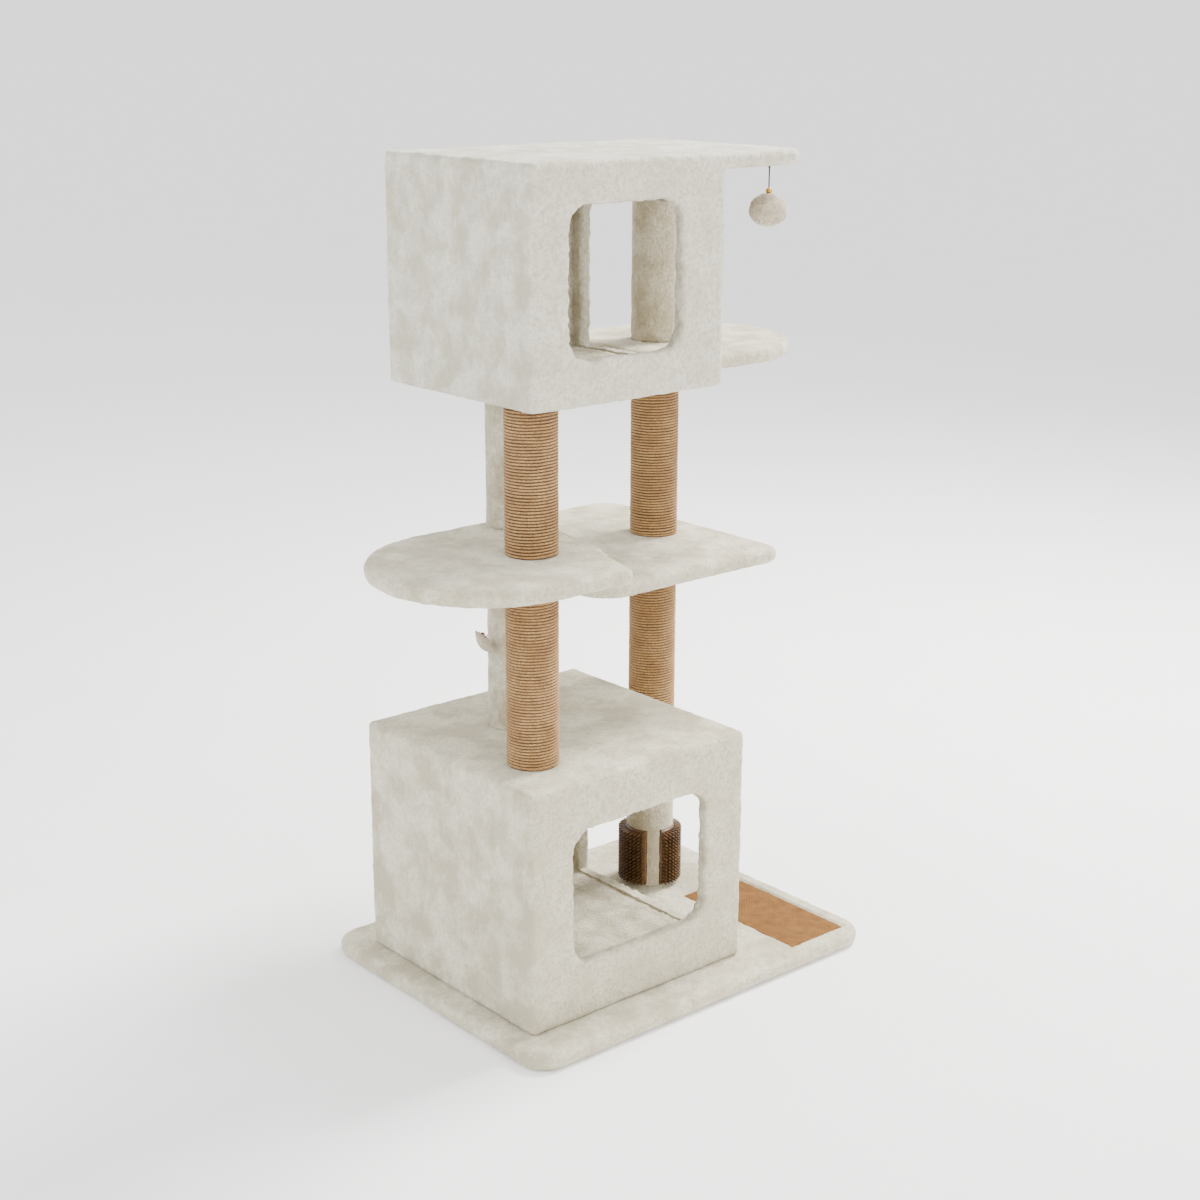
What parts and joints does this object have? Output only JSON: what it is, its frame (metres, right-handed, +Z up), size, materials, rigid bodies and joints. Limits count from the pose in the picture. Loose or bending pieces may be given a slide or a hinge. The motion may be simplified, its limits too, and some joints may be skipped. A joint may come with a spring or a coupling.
{
  "type": "cat tree",
  "caption": "Free-standing plush cat tree with rope-wrapped posts, windowed condos, offset shelves, a half-round perch, a scratch mat, a bristle groomer, a swinging ball and a springy mouse.",
  "frame": {"origin": "centre of the base's flat underside", "axes": "+Z up along the posts, +X along the base's long side towards the scratch mat, -Y is the side with the windows"},
  "size_m": [0.962, 0.648, 1.386],
  "materials": {
    "plush": "short-pile cream plush",
    "plush_lining": "short-pile cream plush",
    "post_plush": "short-pile cream plush",
    "board": "raw particle board",
    "plug_wood": "raw wood",
    "sisal_mat": "woven, coarse",
    "cardboard": "kraft paper tube",
    "jute_rope": "twisted jute",
    "steel": "zinc plated",
    "groomer_plastic": "satin",
    "string": "waxed cord",
    "brass_bead": "polished",
    "toy_fluff": "fluffy",
    "mouse_fur": "short fur",
    "red_felt": "felt",
    "black_eye": "glossy"
  },
  "bodies": {
    "tree": {"base_board": "board", "base_cover": "plush", "scratch_mat": "sisal_mat", "low_floor": "board", "low_front": "board", "low_back": "board", "low_left": "board", "low_right": "board", "low_roof": "board", "low_cover": "plush", "low_lining": "plush_lining", "up_floor": "board", "up_front": "board", "up_back": "board", "up_left": "board", "up_right": "board", "up_cover": "plush", "up_lining": "plush_lining", "top_board": "board", "top_cover": "plush", "left_shelf_board": "board", "left_shelf_cover": "plush", "right_shelf_board": "board", "right_shelf_cover": "plush", "perch_board": "board", "perch_cover": "plush", "tube_front_low": "cardboard", "tube_front_high": "cardboard", "tube_rear_low": "cardboard", "tube_rear_high": "cardboard", "tube_right_1": "cardboard", "tube_right_2": "cardboard", "tube_right_3": "cardboard", "tube_right_4": "cardboard", "rope_front_low": "jute_rope", "rope_front_high": "jute_rope", "rope_right_2": "jute_rope", "rope_right_3": "jute_rope", "plush_rear_low": "post_plush", "plush_rear_high": "post_plush", "plush_right_1": "post_plush", "plush_right_4": "post_plush", "post_plugs": "plug_wood", "joint_studs": "steel", "post_bolts": "steel", "post_washers": "steel", "condo_bolts": "steel", "panel_screws": "steel", "groomer_left": "groomer_plastic", "groomer_right": "groomer_plastic", "groomer_screws": "steel", "string_anchor": "steel"},
    "knot": {"string_knot": "string"},
    "ball": {"ball_string": "string", "ball_bead": "brass_bead", "toy_ball": "toy_fluff"},
    "mouse": {"mouse_tail": "mouse_fur", "mouse_body": "mouse_fur", "mouse_ears": "red_felt", "mouse_eyes": "black_eye"}
  },
  "joints": [
    {"name": "ball_swing_front", "type": "hinge", "parent": "tree", "child": "knot", "pos_m": [0.219, -0.1535, 1.3577], "axis": [1, 0, 0], "range_deg": [-40, 40]},
    {"name": "ball_swing_side", "type": "hinge", "parent": "knot", "child": "ball", "pos_m": [0.219, -0.1535, 1.3577], "axis": [0, 1, 0], "range_deg": [-40, 40]},
    {"name": "mouse_bob", "type": "hinge", "parent": "tree", "child": "mouse", "pos_m": [-0.19199, 0.05373, 0.571], "axis": [-0.0174, 0.9998, 0], "range_deg": [-25, 10], "stiffness_Nm_per_rad": 0.03}
  ]
}
